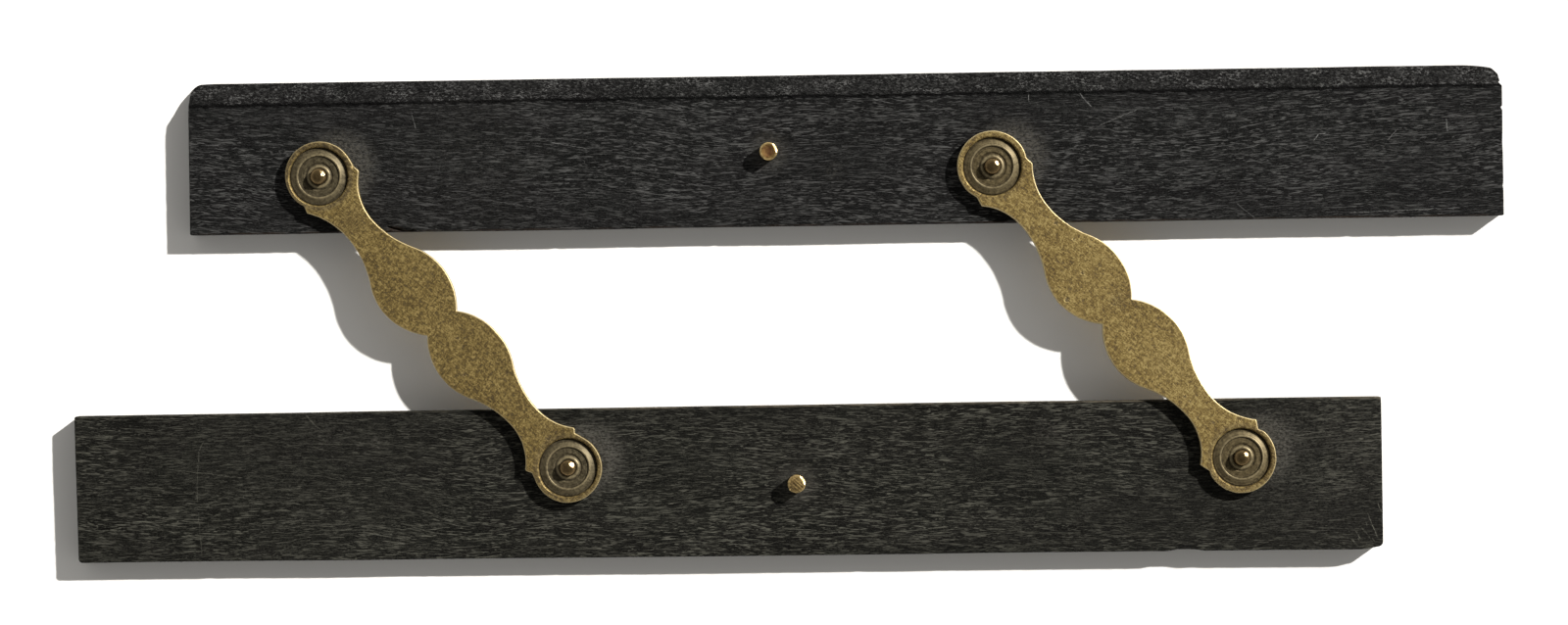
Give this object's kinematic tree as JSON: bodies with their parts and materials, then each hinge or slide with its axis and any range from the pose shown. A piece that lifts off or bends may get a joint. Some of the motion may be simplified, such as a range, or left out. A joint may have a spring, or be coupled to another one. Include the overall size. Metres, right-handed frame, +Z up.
{
  "type": "parallel rule",
  "caption": "Drawing rule with a pair of straight wooden blades joined by shaped brass arms, so that the blades swing apart and stay parallel.",
  "frame": {"origin": "under the middle of the open rule's bounding box, on the table it lies on", "axes": "+X along the blades, +Y from the lower blade to the upper one, +Z up out of the blades' faces"},
  "size_m": [0.2498, 0.0844, 0.0071],
  "materials": {
    "ebony": "dense near-black wood, dry and worn, with fine pale pores along the grain and small scratches",
    "arm_brass": "aged satin brass, mottled olive and yellow-brown, with bright worn edges",
    "turned_brass": "turned brass with a grey-brown tarnish and brighter ridges",
    "post_brass": "brass with a filed end and a bright rim",
    "plain_brass": "plain dull brass"
  },
  "bodies": {
    "lower_rule": {"lower_blade": "ebony", "lower_left_pin": "turned_brass", "lower_left_rosette": "turned_brass", "lower_left_spacer": "plain_brass", "lower_left_rivet_plate": "plain_brass", "lower_right_pin": "turned_brass", "lower_right_rosette": "turned_brass", "lower_right_spacer": "plain_brass", "lower_right_rivet_plate": "plain_brass", "lower_finger_post": "post_brass"},
    "left_link": {"left_arm": "arm_brass"},
    "right_link": {"right_arm": "arm_brass"},
    "upper_rule": {"upper_blade": "ebony", "upper_left_pin": "turned_brass", "upper_left_rosette": "turned_brass", "upper_left_spacer": "plain_brass", "upper_left_rivet_plate": "plain_brass", "upper_right_pin": "turned_brass", "upper_right_rosette": "turned_brass", "upper_right_spacer": "plain_brass", "upper_right_rivet_plate": "plain_brass", "upper_finger_post": "post_brass"}
  },
  "joints": [
    {"name": "left_arm_swing", "type": "hinge", "parent": "lower_rule", "child": "left_link", "pos_m": [-0.03885, -0.02581, 0.005], "axis": [0, 0, 1], "range_deg": [-112, 32.6]},
    {"name": "right_arm_swing", "type": "hinge", "parent": "lower_rule", "child": "right_link", "pos_m": [0.07835, -0.02581, 0.005], "axis": [0, 0, 1], "range_deg": [-112, 32.6]},
    {"name": "upper_blade_swing", "type": "hinge", "parent": "left_link", "child": "upper_rule", "pos_m": [-0.08145, 0.02551, 0.005], "axis": [0, 0, 1], "range_deg": [-32.6, 112]}
  ],
  "couplings": [
    {"joint": "right_arm_swing", "follows": "left_arm_swing", "ratio": 1},
    {"joint": "upper_blade_swing", "follows": "left_arm_swing", "ratio": -1}
  ]
}
